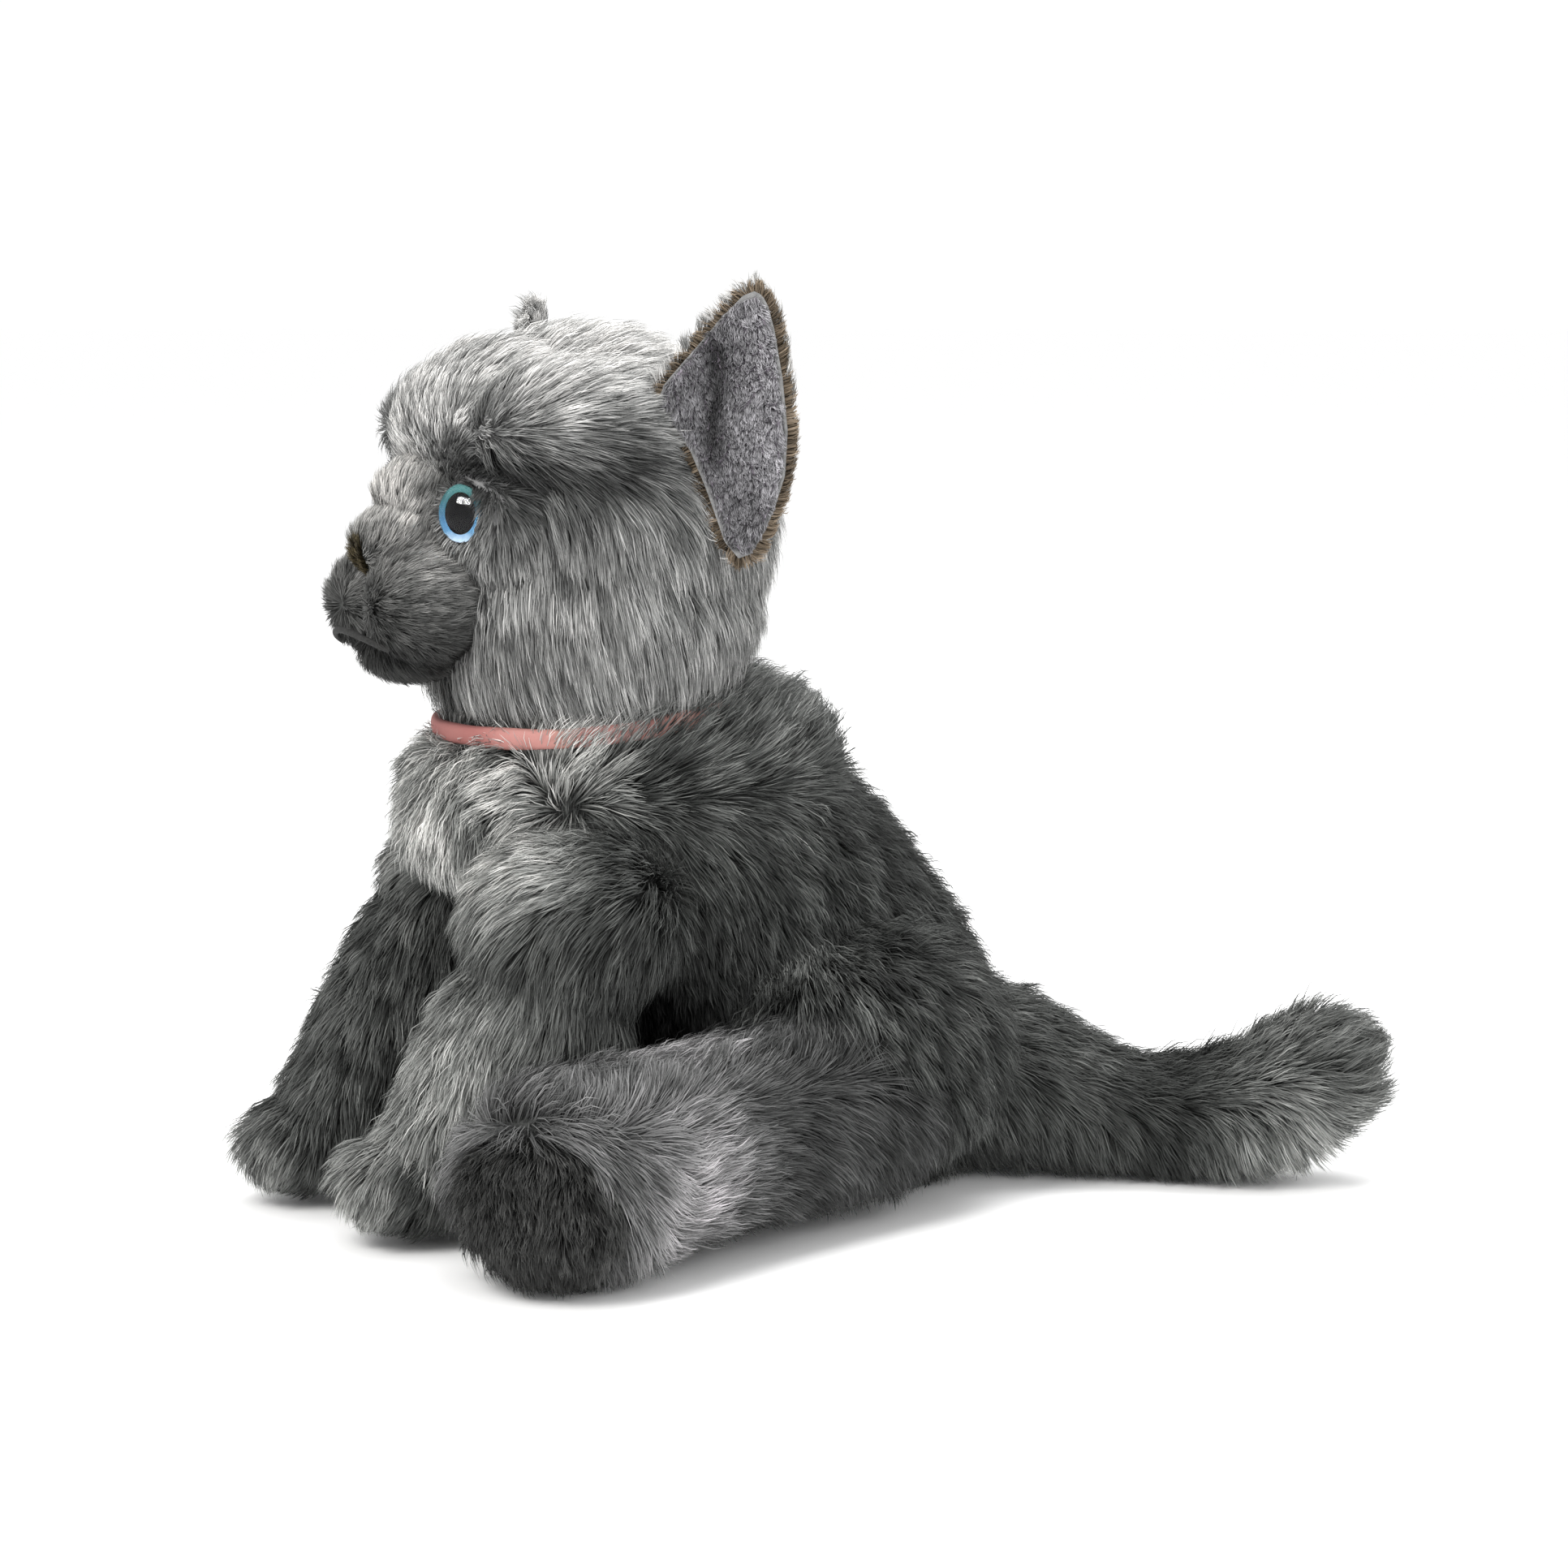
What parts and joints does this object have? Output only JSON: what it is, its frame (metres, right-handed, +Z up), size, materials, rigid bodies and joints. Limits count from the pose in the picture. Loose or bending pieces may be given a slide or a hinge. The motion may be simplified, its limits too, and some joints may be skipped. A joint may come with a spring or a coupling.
{
  "type": "plush cat",
  "caption": "Sitting long-pile plush cat with posable head, legs, ears and tail, safety eyes, lined ears and a collar band.",
  "frame": {"origin": "middle of the flat seat under the torso, on the surface it sits on", "axes": "the cat faces -Y, +X is its own left side, +Z is up"},
  "size_m": [0.2206, 0.2795, 0.2316],
  "materials": {
    "grey_plush": "matte",
    "light_grey_plush": "matte",
    "dark_grey_plush": "matte",
    "ear_lining": "matte",
    "nose_plush": "matte",
    "collar_felt": "matte",
    "dark_thread": "matte",
    "fibre_filling": "matte",
    "pouch_cloth": "matte",
    "pellets": "satin",
    "clear_dome": "gloss",
    "iris_blue": "gloss",
    "pupil_black": "gloss",
    "black_plastic": "satin",
    "white_plastic": "satin"
  },
  "bodies": {
    "torso": {"torso_skin": "grey_plush", "torso_stuffing": "fibre_filling", "bean_pouch": "pouch_cloth", "bean_pellets": "pellets"},
    "neck": {"neck_skin": "grey_plush", "neck_stuffing": "fibre_filling"},
    "collar": {"collar_band": "collar_felt"},
    "head": {"head_skin": "light_grey_plush", "head_stuffing": "fibre_filling", "muzzle_skin": "dark_grey_plush", "muzzle_stuffing": "fibre_filling", "nose": "nose_plush", "mouth_stitch": "dark_thread", "eye_left_dome": "clear_dome", "eye_left_iris": "iris_blue", "eye_left_pupil": "pupil_black", "eye_left_shank": "black_plastic", "eye_left_washer": "white_plastic", "eye_right_dome": "clear_dome", "eye_right_iris": "iris_blue", "eye_right_pupil": "pupil_black", "eye_right_shank": "black_plastic", "eye_right_washer": "white_plastic"},
    "tail_base": {"tail_base_skin": "grey_plush", "tail_base_stuffing": "fibre_filling"},
    "tail_tip": {"tail_tip_skin": "grey_plush", "tail_tip_stuffing": "fibre_filling"},
    "ear_left": {"ear_left_back": "light_grey_plush", "ear_left_lining": "ear_lining"},
    "front_leg_left": {"front_leg_left_skin": "grey_plush", "front_leg_left_stuffing": "fibre_filling"},
    "hind_leg_left": {"hind_leg_left_skin": "grey_plush", "hind_leg_left_stuffing": "fibre_filling", "hind_leg_left_sole": "dark_grey_plush"},
    "ear_right": {"ear_right_back": "light_grey_plush", "ear_right_lining": "ear_lining"},
    "front_leg_right": {"front_leg_right_skin": "grey_plush", "front_leg_right_stuffing": "fibre_filling"},
    "hind_leg_right": {"hind_leg_right_skin": "grey_plush", "hind_leg_right_stuffing": "fibre_filling", "hind_leg_right_sole": "dark_grey_plush"}
  },
  "joints": [
    {"name": "neck_nod", "type": "hinge", "parent": "torso", "child": "neck", "pos_m": [0, -0.037, 0.12], "axis": [1, 0, 0], "range_deg": [-12, 10], "stiffness_Nm_per_rad": 1.2},
    {"name": "head_turn", "type": "hinge", "parent": "neck", "child": "head", "pos_m": [0, -0.037, 0.12], "axis": [0, -0.0872, 0.9962], "range_deg": [-35, 35], "stiffness_Nm_per_rad": 0.3},
    {"name": "collar_turn", "type": "hinge", "parent": "neck", "child": "collar", "pos_m": [0, -0.037, 0.12], "axis": [0, -0.0872, 0.9962], "continuous": true},
    {"name": "tail_swing", "type": "hinge", "parent": "torso", "child": "tail_base", "pos_m": [0.022, 0.06, 0.02], "axis": [0, 0, 1], "range_deg": [-20, 20], "stiffness_Nm_per_rad": 0.15},
    {"name": "tail_curl", "type": "hinge", "parent": "tail_base", "child": "tail_tip", "pos_m": [0.055, 0.097, 0.0175], "axis": [0, 0, 1], "range_deg": [-20, 20], "stiffness_Nm_per_rad": 0.08},
    {"name": "ear_left_flex", "type": "hinge", "parent": "head", "child": "ear_left", "pos_m": [0.04875, -0.0335, 0.1885], "axis": [0.2401, 0.2515, -0.9376], "range_deg": [-10, 20], "stiffness_Nm_per_rad": 0.04},
    {"name": "front_leg_left_lift", "type": "hinge", "parent": "torso", "child": "front_leg_left", "pos_m": [0.04, -0.052, 0.081], "axis": [-1, 0, 0], "range_deg": [0, 45], "stiffness_Nm_per_rad": 0.12},
    {"name": "hind_leg_left_splay", "type": "hinge", "parent": "torso", "child": "hind_leg_left", "pos_m": [0.054, 0.01, 0.03], "axis": [0, 0, 1], "range_deg": [-4, 15], "stiffness_Nm_per_rad": 0.3},
    {"name": "ear_right_flex", "type": "hinge", "parent": "head", "child": "ear_right", "pos_m": [-0.04875, -0.0395, 0.1885], "axis": [0.2401, -0.2515, 0.9376], "range_deg": [-10, 20], "stiffness_Nm_per_rad": 0.04},
    {"name": "front_leg_right_lift", "type": "hinge", "parent": "torso", "child": "front_leg_right", "pos_m": [-0.04, -0.052, 0.081], "axis": [-1, 0, 0], "range_deg": [0, 45], "stiffness_Nm_per_rad": 0.12},
    {"name": "hind_leg_right_splay", "type": "hinge", "parent": "torso", "child": "hind_leg_right", "pos_m": [-0.054, 0.01, 0.03], "axis": [0, 0, -1], "range_deg": [-4, 15], "stiffness_Nm_per_rad": 0.3}
  ]
}
